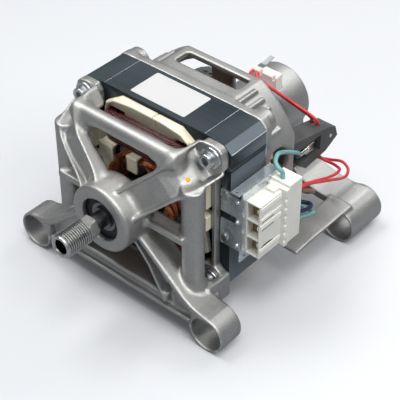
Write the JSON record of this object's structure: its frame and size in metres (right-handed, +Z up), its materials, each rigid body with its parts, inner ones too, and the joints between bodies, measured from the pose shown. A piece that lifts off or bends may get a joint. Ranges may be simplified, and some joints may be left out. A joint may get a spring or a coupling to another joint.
{
  "type": "washing machine motor",
  "caption": "Open-frame commutator motor with a ribbed belt pulley, cast end brackets on mounting lugs, brush gear, speed sensor and side connector.",
  "frame": {"origin": "on the shaft axis, in the middle of the pulley's ribs", "axes": "-Y along the shaft towards its free end, +X to the connector's side, +Z up with the motor standing on its lugs"},
  "size_m": [0.1726, 0.2113, 0.1254],
  "materials": {
    "cast_aluminium": "fine cast satin",
    "painted_laminations": "satin paint over stacked sheet",
    "cream_nylon": "moulded satin",
    "ivory_nylon": "moulded satin",
    "enamelled_wire": "glossy enamel over wire",
    "copper_wire": "enamelled copper",
    "commutator_copper": "turned",
    "zinc_steel": "bright zinc",
    "zinc_sheet": "bright zinc sheet",
    "turned_steel": "turned",
    "bearing_steel": "ground",
    "spring_steel": "drawn wire",
    "cage_steel": "pressed",
    "core_steel": "stacked sheet",
    "tin_plate": "tinned",
    "brass": "pressed sheet",
    "seal_rubber": "matt",
    "charcoal_plastic": "glass-filled satin",
    "carbon": "matt graphite",
    "magnet_ferrite": "sintered",
    "red_sleeve": "wire sleeve",
    "teal_sleeve": "wire sleeve",
    "brown_sleeve": "wire sleeve",
    "navy_sleeve": "wire sleeve"
  },
  "bodies": {
    "stator": {"front_bracket": "cast_aluminium", "rear_bracket": "cast_aluminium", "rear_bell": "cast_aluminium", "rear_foot_right": "cast_aluminium", "rear_foot_left": "cast_aluminium", "stator_stack": "painted_laminations", "coil_frame_front": "cream_nylon", "coil_frame_rear": "cream_nylon", "field_coil_upper": "enamelled_wire", "field_coil_lower": "enamelled_wire", "through_bolts": "zinc_steel", "front_bearing_outer": "bearing_steel", "front_bearing_seal": "seal_rubber", "rear_bearing_outer": "bearing_steel", "tacho_coil": "ivory_nylon", "tacho_terminal_block": "ivory_nylon", "tacho_clip": "zinc_steel", "brush_holder_right": "charcoal_plastic", "brush_holder_left": "charcoal_plastic", "brush_guide_right": "brass", "brush_guide_left": "brass", "brush_spring_right": "spring_steel", "brush_spring_left": "spring_steel", "brush_terminal_right": "tin_plate", "brush_terminal_left": "tin_plate", "brush_holder_screws": "zinc_steel", "connector_bracket": "zinc_sheet", "bracket_rivets": "zinc_steel", "connector_housing": "ivory_nylon", "connector_pins": "tin_plate", "tacho_wire_a": "red_sleeve", "tacho_wire_b": "red_sleeve", "brush_lead_right": "teal_sleeve", "brush_lead_left": "teal_sleeve", "field_lead_brown": "brown_sleeve", "field_lead_navy": "navy_sleeve", "field_lead_teal": "teal_sleeve"},
    "rotor": {"rotor_shaft": "bearing_steel", "drive_pulley": "turned_steel", "armature_core": "core_steel", "armature_winding": "copper_wire", "commutator": "commutator_copper", "front_bearing_inner": "bearing_steel", "rear_bearing_inner": "bearing_steel", "tacho_magnet": "magnet_ferrite"},
    "front_ball_row": {"front_bearing_balls": "bearing_steel", "front_bearing_cage": "cage_steel"},
    "rear_ball_row": {"rear_bearing_balls": "bearing_steel", "rear_bearing_cage": "cage_steel"},
    "brush_right": {"carbon_brush_right": "carbon"},
    "brush_left": {"carbon_brush_left": "carbon"}
  },
  "joints": [
    {"name": "rotor_spin", "type": "hinge", "parent": "stator", "child": "rotor", "pos_m": [0, 0, 0], "axis": [0, 1, 0], "continuous": true},
    {"name": "front_ball_row_spin", "type": "hinge", "parent": "stator", "child": "front_ball_row", "pos_m": [0, 0.0315, 0], "axis": [0, 1, 0], "continuous": true},
    {"name": "rear_ball_row_spin", "type": "hinge", "parent": "stator", "child": "rear_ball_row", "pos_m": [0, 0.166, 0], "axis": [0, 1, 0], "continuous": true},
    {"name": "brush_right_slide", "type": "slide", "parent": "stator", "child": "brush_right", "axis": [1, 0, 0], "range_m": [0, 0.006], "stiffness_N_per_m": 120, "springref_m": -0.012, "deforming": ["brush_spring_right"]},
    {"name": "brush_left_slide", "type": "slide", "parent": "stator", "child": "brush_left", "axis": [-1, 0, 0], "range_m": [0, 0.006], "stiffness_N_per_m": 120, "springref_m": -0.012, "deforming": ["brush_spring_left"]}
  ],
  "couplings": [
    {"joint": "front_ball_row_spin", "follows": "rotor_spin", "ratio": 0.3881},
    {"joint": "rear_ball_row_spin", "follows": "rotor_spin", "ratio": 0.3728}
  ]
}
